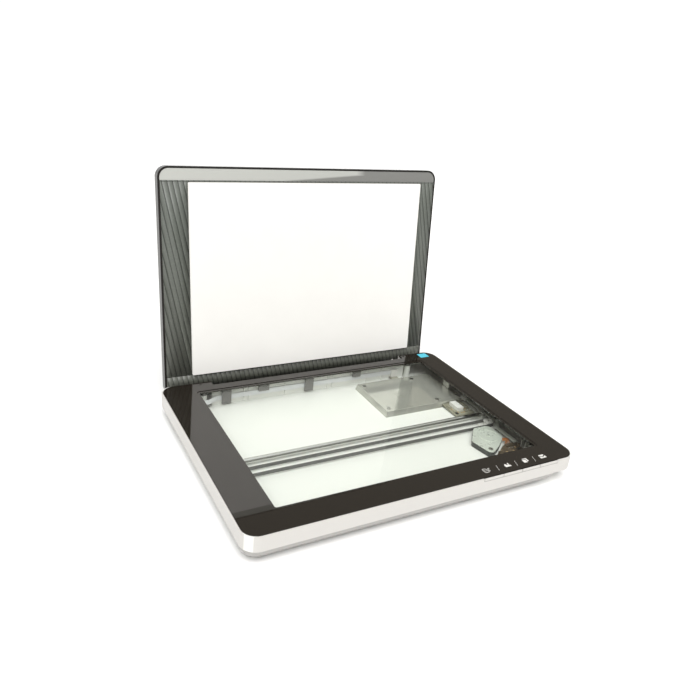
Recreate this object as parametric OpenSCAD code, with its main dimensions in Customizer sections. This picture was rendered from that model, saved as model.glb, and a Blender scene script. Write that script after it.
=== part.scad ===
// Flatbed scanner, A4, contact-image-sensor type, lid open on its stop.
// All lengths in millimetres. +X runs to the right along the long side,
// +Y to the rear (hinge side), +Z up. The table is z = 0.
// Pieces are placed in bench coordinates whose origin is the front left
// corner of the bezel, and bench() shifts them to the row origin.

/* [Base] */
// Overall width of the base, left to right
base_w = 370; // [369:0.5:374]
// Overall depth of the base, front to rear
base_d = 276; // [275:0.5:279]
// Height of the bezel's top face above the table
base_h = 30; // [29.8:0.1:31]
// Wall and floor thickness of the moulded tub
wall = 2.2; // [1.9:0.1:2.3]
// Radius of the rounded lower edge of the tub
belly_r = 15; // [13:0.5:15]
// Height that the rubber feet hold the tub above the table
foot_h = 2; // [1.6:0.1:2.2]

/* [Window] */
// Clear width of the glass window
window_w = 299.8; // [297:0.2:301]
// Clear depth of the glass window
window_d = 220.4; // [216:0.2:221]
// Distance of the window from the bezel's left edge
window_x = 37.4; // [36.5:0.1:38]
// Distance of the window from the bezel's front edge
window_y = 29.8; // [28:0.1:31]
// Thickness of the platen glass
glass_t = 2.8; // [2.4:0.1:3]

/* [Lid] */
// Width of the lid
lid_w = 351; // [344:1:355]
// Thickness of the lid with its edges
lid_t = 14.5; // [12:0.5:18]
// Angle between the closed lid and the lid at rest on its stop
lid_open = 95.7; // [91:0.1:97]
// Thickness of the foam under the document sheet
foam_t = 2.4; // [1.8:0.1:2.5]

/* [Keys] */
// Width of one front key
key_w = 23.7; // [21:0.1:24]
// Travel of a key onto its switch
key_travel = 0.6; // [0.4:0.1:0.6]

/* [Drive] */
// Diameter of the steel guide shaft
shaft_d = 6; // [5:0.5:6]
// Module of the gear teeth
gear_m = 0.7; // [0.7:0.01:0.71]

/* [Hidden] */
$fn = 64;
e = 0.01;

rim = 1.5;                       // tub wall seen round the bezel
bz_w = base_w - 2*rim;           // bezel width
bz_d = base_d - 2*rim;           // bezel depth
cx = bz_w/2;
bz_t = 2.2;                      // bezel plate
bz_z = base_h - bz_t;            // underside of the bezel
tape_t = 0.3;
glass_z1 = bz_z - tape_t;        // top of the glass
glass_z0 = glass_z1 - glass_t;   // underside of the glass
floor_z = foot_h + wall;         // inside floor of the tub
plan_r = 15.5;                   // corner radius of the tub in plan
cav_r = plan_r - wall;
crease = 0.18;                   // sine of the fold where the side meets the belly
cav_b = belly_r - wall;
wx1 = window_x + window_w;
wy1 = window_y + window_d;

// rear recess between the hinges
nx0 = cx - 125.5; nx1 = cx + 134; ny = bz_d - 9;

// hinge axis, 13 mm under the bezel's top and 4.1 mm in front of its rear edge
ya = bz_d - 4.1;
za = base_h - 13.06;
post_x = [cx - 121.5, cx + 107.5];   // left sides of the two hinge posts
post_w = 14;

// lid, described closed; the open pose is a turn about the hinge axis
lid_z0 = base_h + 0.8;
lid_z1 = lid_z0 + lid_t;
lid_y0 = 15.2; lid_y1 = bz_d + 0.6;
lid_x0 = cx - lid_w/2;
lid_r = 12; lid_edge = 4; lid_wall = 2.2;
lip_d = 14.5;
y_back = ya + sin(lid_open)*(lid_z1 - za - lid_edge) - cos(lid_open)*(ya - lid_y0 - lid_edge) + lid_edge;
y_mid = (y_back - rim)/2;

// drive
shaft_y = 134; shaft_z = 8.8; shaft_r = shaft_d/2;
belt_y = 115; belt_x0 = 12.8; belt_x1 = 347; drum_r = 5; belt_i = 5.3; belt_o = 6.5;
belt_z0 = 6.7; belt_z1 = 10.3;
n_pin = 10; n_big = 40; n_small = 16; n_drive = 34;
ctr = gear_m*(n_pin + n_big)/2;      // both gear pairs have this centre distance
g_ang = 50.83;                       // direction from the motor to the pulley
p3 = [belt_x1, belt_y];
p2 = p3 - ctr*[cos(g_ang), sin(g_ang)];
p1 = p2 - ctr*[cos(g_ang), sin(g_ang)];
screw_m = [308, 63];

// carriage, at home under the left strip of the bezel
car_x0 = 5; car_x1 = 30; car_y0 = 22; car_y1 = 254; car_z0 = 12.2;
scan_x = 23.5;

// keys
key_pitch = 24.3; key_x0 = 243.6; key_z0 = base_h - 3.3; key_z1 = base_h - 0.6;

// main board and shield
sh_x0 = 239; sh_x1 = 349.4; sh_y0 = 171; sh_y1 = 247; sh_z = 11; sh_in = 2.4;
sh_scr = [[247, 238.6], [318, 238.6], [247, 180], [318, 180]];
usb_y = 206; usb_z = 8;

// case screws: x, y and the height of the seat under the head
base_scr = [[16, 11, 5.6], [125, 11, 5.6], [235, 11, 5.6], [45, 259.5, 18.8], [324, 259.5, 18.8]];
function scr_top(p) = min(p[2] + 9.4, bz_z - 0.8);
feet = [[25, 25], [325, 25], [45, 246], [330, 246]];

white = [0.93, 0.92, 0.90]; black = [0.11, 0.105, 0.10]; steel = [0.75, 0.76, 0.77];

module bench() { translate([-cx, -y_mid, 0]) children(); }
// turns pieces of the closed lid to the open rest pose
module opened() { translate([0, ya, za]) rotate([-lid_open, 0, 0]) translate([0, -ya, -za]) children(); }

// underside cut away at the front right corner, as a profile seen from the front
raise_d = 18; raise_z = 14.6;
module raise(o, y1) translate([0, y1, 0]) rotate([90, 0, 0]) linear_extrude(y1 + rim + 1)
  polygon([[332 - o, -1], [337.8 - o, raise_z + o], [base_w, raise_z + o], [base_w, -1]]);

// rounded rectangle in plan, lower left corner at the origin
module rrect(w, d, r) {
  translate([r, 0]) square([w - 2*r, d]);
  translate([0, r]) square([w, d - 2*r]);
  for (x = [r, w - r], y = [r, d - r]) translate([x, y]) circle(r);
}
module plate(x, y, z, w, d, h, r) { translate([x, y, z]) linear_extrude(h) rrect(w, d, r); }
module box(x0, x1, y0, y1, z0, z1) { translate([x0, y0, z0]) cube([x1 - x0, y1 - y0, z1 - z0]); }
module pin(x, y, z0, z1, r) { translate([x, y, z0]) cylinder(h = z1 - z0, r = r, $fn = 48); }

// solid tray: rounded corners in plan (rp), a rounded lower edge (re), and a
// fold of sine k where the upright side meets the rounding
module edge_profile(rp, re, h, k) {
  xc = rp - re*sqrt(1 - k*k); zc = re*(1 - k);
  square([xc, h]);
  translate([0, zc]) square([rp, h - zc]);
  intersection() { translate([xc, re]) circle(re, $fn = 96); translate([xc, 0]) square([rp - xc + 1, zc]); }
}
module tray(w, d, h, rp, re, k = 0) {
  for (c = [[rp, rp, 180], [w - rp, rp, 270], [w - rp, d - rp, 0], [rp, d - rp, 90]])
    translate([c[0], c[1], 0]) rotate(c[2]) rotate_extrude(angle = 90) edge_profile(rp, re, h, k);
  translate([rp, rp, 0]) cube([w - 2*rp, d - 2*rp, h]);
  translate([w - rp, rp, 0]) side_run(d - 2*rp, rp, re, h, k);
  translate([rp, d - rp, 0]) rotate(180) side_run(d - 2*rp, rp, re, h, k);
  translate([rp, rp, 0]) rotate(-90) side_run(w - 2*rp, rp, re, h, k);
  translate([w - rp, d - rp, 0]) rotate(90) side_run(w - 2*rp, rp, re, h, k);
}
module side_run(l, rp, re, h, k) { translate([0, l, 0]) rotate([90, 0, 0]) linear_extrude(l) edge_profile(rp, re, h, k); }

// straight-flanked gear outline with running clearance at the mesh
module gear2d(n, ph = 0) {
  rp = gear_m*n/2; ra = rp + 0.72*gear_m; rf = rp - 1.0*gear_m; q = 360/n;
  polygon([for (i = [0:n - 1]) for (k = [[rf, -0.27], [ra, -0.11], [ra, 0.11], [rf, 0.27]])
    k[0]*[cos(ph + q*(i + k[1])), sin(ph + q*(i + k[1]))]]);
}

// tube along a list of points, for wires and springs
function unit(v) = v/norm(v);
function dirs(p) = [for (i = [0:len(p) - 1]) unit(p[min(i + 1, len(p) - 1)] - p[max(i - 1, 0)])];
module tube(p, r, s = 8) {
  t = dirs(p); n = len(p);
  up = [for (v = t) abs(v[2]) > 0.9 ? [1, 0, 0] : [0, 0, 1]];
  a = [for (i = [0:n - 1]) unit(cross(t[i], up[i]))];
  b = [for (i = [0:n - 1]) cross(a[i], t[i])];
  pts = [for (i = [0:n - 1]) for (k = [0:s - 1]) p[i] + r*(cos(360*k/s)*a[i] + sin(360*k/s)*b[i])];
  side = [for (i = [0:n - 2]) for (k = [0:s - 1]) [i*s + k, i*s + (k + 1)%s, (i + 1)*s + (k + 1)%s, (i + 1)*s + k]];
  polyhedron(pts, concat([[for (k = [s - 1:-1:0]) k]], side, [[for (k = [0:s - 1]) (n - 1)*s + k]]));
}

// ---------------------------------------------------------------- base
module base_tub() color(white) bench() {
  difference() {
    union() {
      difference() {
        translate([-rim, -rim, foot_h]) tray(base_w, base_d, base_h - 0.5 - foot_h, plan_r, belly_r, crease);
        difference() {
          translate([wall - rim, wall - rim, floor_z]) tray(base_w - 2*wall, base_d - 2*wall, base_h, cav_r, cav_b, crease);
          box(nx0 - wall, nx1 + wall, ny - wall, base_d, 0, base_h);
          // raised floor where the underside is cut away for a finger hold
          raise(wall, raise_d + wall);
          box(-rim, 28 + wall, 207 - wall, base_d, 0, 8 + wall);
        }
        box(nx0, nx1, ny, base_d, 0, base_h);
        raise(0, raise_d);
        box(-rim - 1, 28, 207, base_d, 0, 8);
        plate(-0.2, -0.2, bz_z - 0.2, bz_w + 0.4, bz_d + 0.4, 5, plan_r - rim + 0.2);
        // rear edge lowered for the turn of the lid
        box(-rim - 1, base_w, bz_d + 0.5, base_d, base_h - 1, base_h + 5);
        // recess for the front keys
        box(key_x0 - 0.5, key_x0 + 4*key_pitch, -rim - 1, wall, key_z0 - 0.25, base_h);
      }
      // sockets for the two hinge posts
      for (x = post_x) box(x - 1.7, x + post_w + 1.7, ny - wall, bz_d + rim, foot_h + 1, 13);
      // screw towers
      for (p = base_scr) pin(p[0], p[1], floor_z - 0.6, p[2] + 2.4, 4);
      // saddles of the guide shaft
      box(5.4, 8, shaft_y - 5, shaft_y + 5, 6.4, shaft_z);
      box(350, 356, shaft_y - 5, shaft_y + 5, floor_z - 0.5, shaft_z);
      // board posts
      for (p = sh_scr) pin(p[0], p[1], floor_z - 0.5, 6, 3);
      for (p = [[346, 175], [346, 241]]) pin(p[0], p[1], floor_z - 0.5, 6, 3);
      // posts under the motor plate and the small board
      for (p = [[331.5, 61.5], [340, 61.5]]) pin(p[0], p[1], floor_z - 0.5, 5, 2.2);
      pin(screw_m[0], screw_m[1], floor_z - 0.5, 6.2, 4);
      // ribs on the rear wall
      for (x = [94, 100, 147, 205, 212, 262, 285]) for (z = [[floor_z - 0.5, 10], [17.4, 26]])
        box(x, x + 1, ny - wall - 1.6, ny - wall + 0.5, z[0], z[1]);
      // ribs in the front right corner
      for (y = [44, 50, 56, 62]) box(352.6, 361, y, y + 1.2, floor_z - 0.1, 14);
      // spring stop between the belt runs
      box(31.6, 33.6, belt_y - 2, belt_y + 2, floor_z - 0.5, 10);
      // ledge that holds the button board
      for (l = [[244.6, floor_z - 0.2], [340.4, 15.4]]) box(l[0], l[0] + 2, 6, 12, l[1], 26.5);
    }
    // post pockets
    for (x = post_x) box(x - 0.25, x + post_w + 0.25, ny + 1.15, bz_d + 0.35, foot_h + 2, 14);
    // screw heads and shanks
    for (p = base_scr) { pin(p[0], p[1], 0, p[2], 3.2); pin(p[0], p[1], 5, p[2] + 3, 1.7); }
    // foot pockets
    for (p = feet) pin(p[0], p[1], 0, foot_h + 1.2, 7.1);
    // shaft grooves
    translate([4.3, shaft_y, shaft_z]) rotate([0, 90, 0]) cylinder(h = 348.3, r = shaft_r, $fn = 64);
    // gear pocket in the floor
    pin(p1[0], p1[1], 3.2, 5.5, 5); pin(p2[0], p2[1], 3.2, 5.5, 15.2); 
    // holes for the gear studs
    for (p = [p2, p3]) pin(p[0], p[1], 2.6, 5.5, 1);
    // room for the wheel under the belt pulley and for the idler bracket
    pin(p3[0], p3[1], floor_z - 0.1, 6.6, 13);
    box(6.9, 20, belt_y - 4.8, belt_y + 4.8, floor_z, 8);
    pin(belt_x0, belt_y, 5.9, 8.3, 6.6);
    // screw holes under the shield, motor and small board
    for (p = sh_scr) pin(p[0], p[1], floor_z, 7, 1.3);
    pin(screw_m[0], screw_m[1], floor_z, 7, 1.3);
    // opening for the USB socket
    box(358.6, base_w, usb_y - 6.3, usb_y + 6.3, usb_z - 0.6, usb_z + 11.2);
  }
}

module rubber_feet() color([0.2, 0.2, 0.2]) bench()
  for (p = feet) { pin(p[0], p[1], 0.6, foot_h + 1.2, 7); pin(p[0], p[1], 0, 0.6, 6.4); }

module base_screws() color(steel) bench()
  for (p = base_scr) difference() {
    union() { pin(p[0], p[1], p[2] - 2, p[2], 2.9); pin(p[0], p[1], p[2], scr_top(p), 1.5); }
    pin(p[0], p[1], p[2] - 2.6, p[2] - 0.8, 1.2);
  }

module top_bezel() color(black) bench() {
  difference() {
    union() {
      plate(0, 0, bz_z, bz_w, bz_d, bz_t, plan_r - rim);
      // bosses for the base screws
      for (p = base_scr) pin(p[0], p[1], p[2] + 2.5, bz_z + 0.5, 3.5);
      // long and short snap tabs along the rear wall
      for (t = [[67, 78, 6.5], [112, 125, 16], [173, 184, 6.5], [240, 251, 16]]) {
        box(t[0], t[1], 257.6, 259.2, t[2], bz_z + 0.5);
        box(t[0], t[1], 258.9, 260, t[2], t[2] + 1.6);
      }
      // locating rib along the right side of the glass
      box(wx1 + 5.4, wx1 + 6.8, 60, 240, glass_z0, bz_z + 0.5);
    }
    // window with a shallow step round it
    plate(window_x, window_y, bz_z - 1, window_w, window_d, 5, 2);
    plate(window_x - 3, window_y - 3, base_h - 0.6, window_w + 6, window_d + 6, 2, 5);
    // rear recess
    box(nx0, nx1, ny, base_d, 0, base_h + 1);
    // screw pilots
    for (p = base_scr) pin(p[0], p[1], 7, scr_top(p) + 0.3, 1.55);
    // catch holes beside the recess
    pin(nx1 + 4, ny + 4, bz_z - 1, base_h + 1, 1.3);
    box(nx0 - 16, nx0 - 12.5, ny + 3.6, ny + 4.8, bz_z - 1, base_h + 1);
  }
}

module corner_label() color([0.35, 0.75, 0.85]) bench() plate(344, 258.5, base_h, 13, 11, 0.15, 0.6);

module platen_glass() color([0.85, 0.92, 0.9, 0.35]) bench()
  plate(5, window_y - 5.5, glass_z0, wx1 + 4.6 - 5, window_d + 10.5, glass_t, 1);

module glass_tape() color([0.15, 0.15, 0.15]) bench() difference() {
  plate(5.5, window_y - 5, glass_z1, wx1 + 4 - 5.5, window_d + 9.5, tape_t, 1);
  translate([window_x - 0.3, window_y - 0.3, glass_z1 - 1]) cube([window_w + 0.6, window_d + 0.6, 2]);
  translate([11.7, window_y - 0.3, glass_z1 - 1]) cube([22.6, window_d + 0.6, 2]);
}
module calibration_strip() color([0.97, 0.97, 0.96]) bench() difference() {
  plate(12, window_y, glass_z1, 22, window_d, tape_t - 0.05, 0.5);
  box(30, 31.6, window_y + 4, window_y + 10, glass_z1 - 1, glass_z1 + 1);
}

// ---------------------------------------------------------------- drive
module guide_shaft() color(steel) bench() difference() {
  translate([4.4, shaft_y, shaft_z]) rotate([0, 90, 0]) cylinder(h = 348.1, r = shaft_r, $fn = 64);
  for (x = [4.3, 352.1]) translate([x, shaft_y, shaft_z]) rotate([0, 90, 0]) difference() {
    cylinder(h = 0.5, r = shaft_r + 1); cylinder(h = 0.5, r = shaft_r - 0.4);
  }
}
// spring clip over the shaft's right end, with its screw
module shaft_clips() color([0.7, 0.71, 0.72]) bench() {
  difference() {
    union() {
      translate([350.6, shaft_y, shaft_z + 0.1]) rotate([0, 90, 0]) cylinder(h = 4, r = shaft_r + 0.9);
      box(350.6, 354.6, shaft_y - 5, shaft_y + 9.5, shaft_z + 0.1, shaft_z + 0.9);
    }
    translate([349, shaft_y, shaft_z]) rotate([0, 90, 0]) cylinder(h = 8, r = shaft_r + 0.05);
    box(349, 357, shaft_y - 9, shaft_y + 12, 0, shaft_z + 0.1);
  }
}
module belt_outline(r) {
  for (x = [belt_x0, belt_x1]) translate([x, belt_y]) circle(r, $fn = 96);
  translate([belt_x0, belt_y - r]) square([belt_x1 - belt_x0, 2*r]);
}
module drive_belt() color([0.25, 0.25, 0.24]) bench() translate([0, 0, belt_z0]) linear_extrude(belt_z1 - belt_z0)
  difference() { belt_outline(belt_o); belt_outline(belt_i); }
module gear_studs() color(steel) bench() {
  pin(p2[0], p2[1], 2.6, 6.15, 1);
  pin(p3[0], p3[1], 2.6, 11.3, 1);
  pin(belt_x0, belt_y, 6.05, 11.3, 1);
}
module idler_bracket() color([0.86, 0.85, 0.83]) bench() difference() {
  union() {
    box(7.2, 20.2, belt_y - 4.4, belt_y + 4.4, floor_z, 6.05);
    box(19.2, 20.2, belt_y - 2.2, belt_y + 2.2, 6, 10);
    translate([20, belt_y, 8.2]) rotate([0, 90, 0]) cylinder(h = 3, r = 0.9, $fn = 32);
  }
  box(9, 17, belt_y - 3.2, belt_y - 2.2, floor_z - 1, 7);
}
module tension_spring() color(steel) bench()
  tube([for (i = [0:56]) let (a = 360*6*i/56) [20.6 + 10.6*i/56, belt_y + 1.65*cos(a), 8.2 + 1.65*sin(a)]], 0.28);

module motor_outline() hull() {
  translate(p1) circle(15.6, $fn = 48);
  for (c = [[304.6, 83, 5.5], [308, 63, 5.2], [320, 70.2, 5], [320.5, 101.2, 5.4], [334.6, 101.4, 5]]) translate([c[0], c[1]]) circle(c[2], $fn = 32);
}
module motor_body() color([0.30, 0.31, 0.31]) bench() difference() {
  translate([0, 0, floor_z]) linear_extrude(6) motor_outline();
  pin(screw_m[0], screw_m[1], 4, 6.4, 4.2);
  pin(screw_m[0], screw_m[1], 6, 11, 1.5);
  pin(p1[0], p1[1], 4, 11, 0.9);
  // room for the wheels
  pin(p1[0], p1[1], 4, 6.2, 5.4);
  pin(p2[0], p2[1], 4, 6.3, 15.4);
  pin(p3[0], p3[1], 4, 12, 13.2);
}
module motor_plate() color([0.76, 0.79, 0.76]) bench() difference() {
  union() {
    translate([0, 0, 10.2]) linear_extrude(0.8) motor_outline();
    translate([p1[0], p1[1], 11]) difference() { cylinder(h = 0.35, r = 12.6); translate([0, 0, -1]) cylinder(h = 3, r = 11.8); }
    pin(p1[0], p1[1], 11, 11.7, 2.6);
  }
  pin(p1[0], p1[1], 10, 12, 0.9);
  pin(screw_m[0], screw_m[1], 10, 12, 1.6);
  // clear of the belt pulley's top flange
  pin(p3[0], p3[1], 10, 12, 13.2);
}
module pan_screw(x, y, z, l, hr = 2.5, hh = 0.9, r = 1.25) difference() {
  union() { pin(x, y, z, z + hh, hr); pin(x, y, z - l, z + e, r); }
  translate([x - 1.3, y - 0.25, z + 0.45]) cube([2.6, 0.5, 1]);
  translate([x - 0.25, y - 1.3, z + 0.45]) cube([0.5, 2.6, 1]);
}
module motor_screws() color(steel) bench() pan_screw(screw_m[0], screw_m[1], 11, 6, 2.6, 0.9);
module motor_wires() color([0.55, 0.33, 0.2]) bench()
  for (k = [0:3]) let (a = -25 - 6*k, d = [cos(a), sin(a), 0]) tube([for (i = [0:20]) let (t = i/20, u = 1 - t)
    u*u*u*([p1[0], p1[1], 8.4] + 16.3*d) + 3*u*u*t*([p1[0], p1[1], 8.4 + 0.5*k] + (23.4 - 0.4*k)*d)
    + 3*u*t*t*[344.2 - 1.6*k, 76 - 0.5*k, 11 - 0.3*k] + t*t*t*[342.6 - 2.2*k, 70.9, 7.3]], 0.5, 8);
module motor_board() color([0.35, 0.31, 0.26]) bench() difference() {
  union() {
    translate([0, 0, 5]) linear_extrude(1.2) polygon([[314, 48], [351.5, 48], [351.5, 70.5], [333, 70.5], [326.5, 66], [314, 56.5]]);
    box(315.5, 321, 51.5, 58.4, 6.2, 10);
    box(334.4, 344.4, 66, 70, 6.2, 8.2);
    box(345.4, 351.4, 66.8, 70, 6.2, 8.2);
    box(341.4, 346.6, 48.6, 51.4, 6.2, 9);
    pin(331.5, 61.5, 6.2, 7, 1.8); pin(340, 61.5, 6.2, 7, 1.8);
    pin(348.6, 62.4, 6.2, 10.4, 1.9);
  }
  for (x = [316.2, 317.8, 319.4]) box(x, x + 0.8, 52.5, 57.4, 8.6, 11);
  pin(348.6, 62.4, 9, 11, 1);
}
// flat cable from the main board to the small board, and on to the buttons
module button_cable() color([0.62, 0.62, 0.60]) bench() {
  translate([0, 0, 9.2]) linear_extrude(1) polygon([[345.6, 68.2], [351.2, 68.2], [351.2, 100], [359.3, 109.5], [359.3, 170.2], [355.2, 170.2], [355.2, 111.5], [345.6, 101]]);
  box(345.8, 351, 68.2, 69, 8.25, 9.4);
  box(342, 346, 49.8, 50.6, 9.05, 10);
  box(342, 346, 29.4, 50.6, 9.2, 10);
  box(342, 346, 29.4, 30.2, 9.2, 18);
  box(342, 346, 12.6, 30.2, 17.2, 18);
  box(342, 346, 12.6, 13.4, 17.2, 22);
  box(330, 346, 12.6, 13.4, 18, 22);
  box(330, 331, 9.7, 13.4, 18, 22);
}

// ---------------------------------------------------------------- electronics
module main_board() color([0.30, 0.42, 0.30]) bench() difference() {
  union() {
    box(243, 350, 174, 245.5, 6, 7.6);
    // tongues for the motor lead, the socket, the flat cable and the ribbon
    box(321.6, 349.2, 143, 175, 6, 7.6);
    box(349.9, 358.5, 192, 222, 6, 7.6);
    box(345, 359.5, 174, 180, 6, 7.6);
    box(297.6, 308, 245, 261.3, 6, 7.6);
    box(262, 276, 196, 210, 7.6, 8.8);
    box(290, 298, 188, 200, 7.6, 8.6);
    box(300, 308, 214, 219, 7.6, 8.8);
    for (i = [0:5]) pin(256 + 7*i, 226, 7.6, 9.6, 2);
    // small parts on the front tongue
    for (p = [[339.3, 148.1], [345.6, 148.1]]) pin(p[0], p[1], 7.6, 9.4, 1.7);
    box(322.6, 327, 160, 166, 7.6, 9); box(323.4, 326, 150, 153, 7.6, 8.8); box(343, 347.5, 153, 166, 7.6, 9.6);
  }
  for (p = sh_scr) pin(p[0], p[1], 5, 9, 1.6);
}
module board_connectors() color([0.9, 0.89, 0.86]) bench() {
  difference() {
    box(329.4, 338.4, 152, 169, 7.6, 11.8);
    for (y = [154, 158, 162, 166]) box(328, 329.9, y, y + 1.2, 8.6, 13);
  }
  box(354.8, 359.4, 170.6, 179.6, 7.65, 10.9);
  // ribbon connector beside the rear wall
  difference() { box(299.4, 307.6, 258, 261.3, 7.6, 17.8); box(299, 305, 260.45, 261.05, 10.3, 18); }
}
module usb_socket() color([0.78, 0.79, 0.8]) bench() {
  difference() {
    box(350, 365.4, usb_y - 6, usb_y + 6, usb_z - 0.4, usb_z + 10.9);
    box(356, 367, usb_y - 4.25, usb_y + 4.25, usb_z + 1.3, usb_z + 9.1);
  }
  box(355.5, 364.4, usb_y - 2.8, usb_y + 2.8, usb_z + 3.6, usb_z + 6.8);
}
// side of the shield leaning in by sh_in, drawn in the plane across it
module skirt() polygon([[0, floor_z], [0.8, floor_z], [sh_in + 0.8, sh_z - 0.4], [sh_in, sh_z - 0.4]]);
module board_shield() color([0.82, 0.82, 0.8]) bench() difference() {
  union() {
    box(sh_x0 + sh_in, sh_x1, sh_y0 + sh_in, sh_y1, sh_z - 0.8, sh_z);
    difference() {
      translate([sh_x0, sh_y0, 0]) rotate([90, 0, 90]) linear_extrude(sh_x1 - sh_x0) skirt();
      translate([sh_x0, sh_y0, 0]) linear_extrude(20) polygon([[-1, 0], [0, 0], [sh_in + 2, sh_in + 2], [-1, sh_in + 2]]);
    }
    difference() {
      translate([sh_x0, sh_y1, 0]) rotate([90, 0, 0]) linear_extrude(sh_y1 - sh_y0) skirt();
      translate([sh_x0, sh_y0, 0]) linear_extrude(20) polygon([[0.05, -1], [0.05, 0], [sh_in + 2.05, sh_in + 2], [sh_in + 2.05, -1]]);
    }
    for (p = sh_scr) pin(p[0], p[1], 7.6, sh_z - 0.4, 2.6);
  }
  for (p = sh_scr) pin(p[0], p[1], 6, 13, 1.4);
  // embossed square over the controller
  difference() { box(272.5, 281.5, 200, 209, sh_z - 0.25, 12); box(273.7, 280.3, 201.2, 207.8, 0, 13); }
  // the front side stops short over the board's front tongue
  translate([0, sh_y0 + 6, 0]) rotate([90, 0, 0]) linear_extrude(8) polygon([[320.6, 0], [sh_x1 + 1, 0], [sh_x1 + 1, 9.6], [333, 9.6], [321.2, 8]]);
}
module shield_screws() color(steel) bench() for (p = sh_scr) pan_screw(p[0], p[1], sh_z, 6);

// runs on edge along the rear wall behind the snap tabs
module scan_ribbon() color([0.93, 0.93, 0.95]) bench() translate([0, 0, 10.6]) linear_extrude(6)
  polygon([[14, 254.2], [50, 254.2], [61.6, 260.6], [304, 260.6], [304, 260.9], [61.5, 260.9], [49.9, 254.5], [14, 254.5]]);

module button_board() color([0.30, 0.42, 0.30]) bench() difference() {
  box(246.8, 340.2, 8.3, 9.7, 17, 26.8);
  for (x = [249.5, 337.5]) translate([x, 12, 19.5]) rotate([90, 0, 0]) cylinder(h = 6, r = 1.2);
}
module tact_switches() color([0.25, 0.25, 0.25]) bench() for (i = [0:3]) {
  box(key_x0 + 8 + i*key_pitch, key_x0 + 14 + i*key_pitch, 5.6, 8.3, 21.6, 27.2);
  translate([key_x0 + 11 + i*key_pitch, 5.6, 25.9]) rotate([90, 0, 0]) cylinder(h = 0.85, r = 1.1);
}

// ---------------------------------------------------------------- carriage
module carriage_frame() color([0.2, 0.2, 0.2]) bench() difference() {
  union() {
    box(car_x0, car_x1, car_y0, car_y1, car_z0, car_z0 + 1.3);
    for (x = [car_x0, car_x1 - 1.4]) box(x, x + 1.4, car_y0, car_y1, car_z0, 20);
    for (y = [car_y0, car_y1 - 1.8]) box(car_x0, car_x1, y, y + 1.8, car_z0, 20);
    box(9.5, car_x1, shaft_y - 4.6, shaft_y + 4.6, 5.2, car_z0 + 0.5);
    box(20.2, 28.6, 122.2, 129.6, 6.4, car_z0 + 0.5);
  }
  translate([car_x0 - 1, shaft_y, shaft_z]) rotate([0, 90, 0]) cylinder(h = 30, r = shaft_r + 0.06, $fn = 64);
  box(15, 24.5, shaft_y - 6, shaft_y + 6, 5, shaft_z - 1.4);
  for (y = [60, 85, 165, 200]) box(10, 25, y, y + 18, car_z0 - 1, car_z0 + 2);
  for (x = [22.4, 26.4]) translate([x, 126.6, 11.3]) rotate([90, 0, 0]) cylinder(h = 6, r = 0.32, $fn = 24);
}
module belt_clamp() color([0.82, 0.8, 0.76]) bench() difference() {
  union() {
    box(20.2, 28.6, 117.4, 119.9, 6.4, 11.9);
    box(20.2, 28.6, 119.8, 122.2, 10.7, 11.9);
  }
  for (x = [22.4, 26.4]) translate([x, 123, 11.3]) rotate([90, 0, 0]) cylinder(h = 8, r = 0.3, $fn = 24);
}
module clamp_screws() color(steel) bench() for (x = [22.4, 26.4]) translate([x, 117.4, 11.3]) {
  rotate([90, 0, 0]) cylinder(h = 0.5, r = 0.55, $fn = 32);
  rotate([-90, 0, 0]) cylinder(h = 7, r = 0.28, $fn = 24);
}
module cis_housing() color([0.13, 0.13, 0.13]) bench() difference() {
  plate(7.2, 25, 15, 20.6, 226, 9.1, 0.8);
  box(16, 26.6, 29, 247, 23.4, 25);
  box(17.4, 21, 30, 246, 17.8, 24);
  box(22.2, 24.8, 30, 246, 14, 24);
  box(8.4, 26.6, 30, 246, 14, 16.6);
}
module cis_window() color([0.8, 0.88, 0.88, 0.35]) bench() box(16.1, 26.5, 29.1, 246.9, 23.4, 24.1);
module lens_array() color([0.75, 0.78, 0.8]) bench() box(22.3, 24.7, 31, 245, 18.4, 23.2);
module light_guide() color([0.88, 0.92, 0.92]) bench() box(17.5, 20.9, 31, 245, 18.6, 22.6);
module cis_board() color([0.30, 0.42, 0.30]) bench() { box(8.6, 26.4, 31, 245, 15.2, 16.5); box(22.9, 24.1, 40, 236, 16.5, 17.2); }
module cis_glides() color([0.95, 0.95, 0.93]) bench() for (y = [25.4, 247.4])
  difference() { plate(9, y, 24.1, 17, 3.2, 0.5, 0.8); }
module cis_springs() color(steel) bench() for (y = [34, 112, 146, 234]) translate([11, y, 0]) rotate([90, 0, 0]) linear_extrude(3)
  polygon([[0, 13.5], [4, 13.5], [7, 14.75], [10, 13.5], [13, 13.5], [13, 13.7], [10.1, 13.7], [7.4, 14.95], [6.6, 14.95], [3.9, 13.7], [0, 13.7]]);

// ---------------------------------------------------------------- gears
module drive_pulley() color([0.9, 0.9, 0.88]) bench() translate([p3[0], p3[1], 0]) difference() {
  union() {
    translate([0, 0, 4.8]) linear_extrude(1.2) gear2d(n_drive, g_ang + 180);
    translate([0, 0, 6]) cylinder(h = 0.5, r = 6);
    translate([0, 0, 6.2]) cylinder(h = 4.5, r = drum_r);
    translate([0, 0, 10.6]) cylinder(h = 0.4, r = 6);
  }
  translate([0, 0, 4]) cylinder(h = 8, r = 1.05, $fn = 48);
  translate([0, 0, 10.2]) difference() { cylinder(h = 2, r = 3.9); translate([0, 0, -1]) cylinder(h = 4, r = 2); }
}
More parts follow.
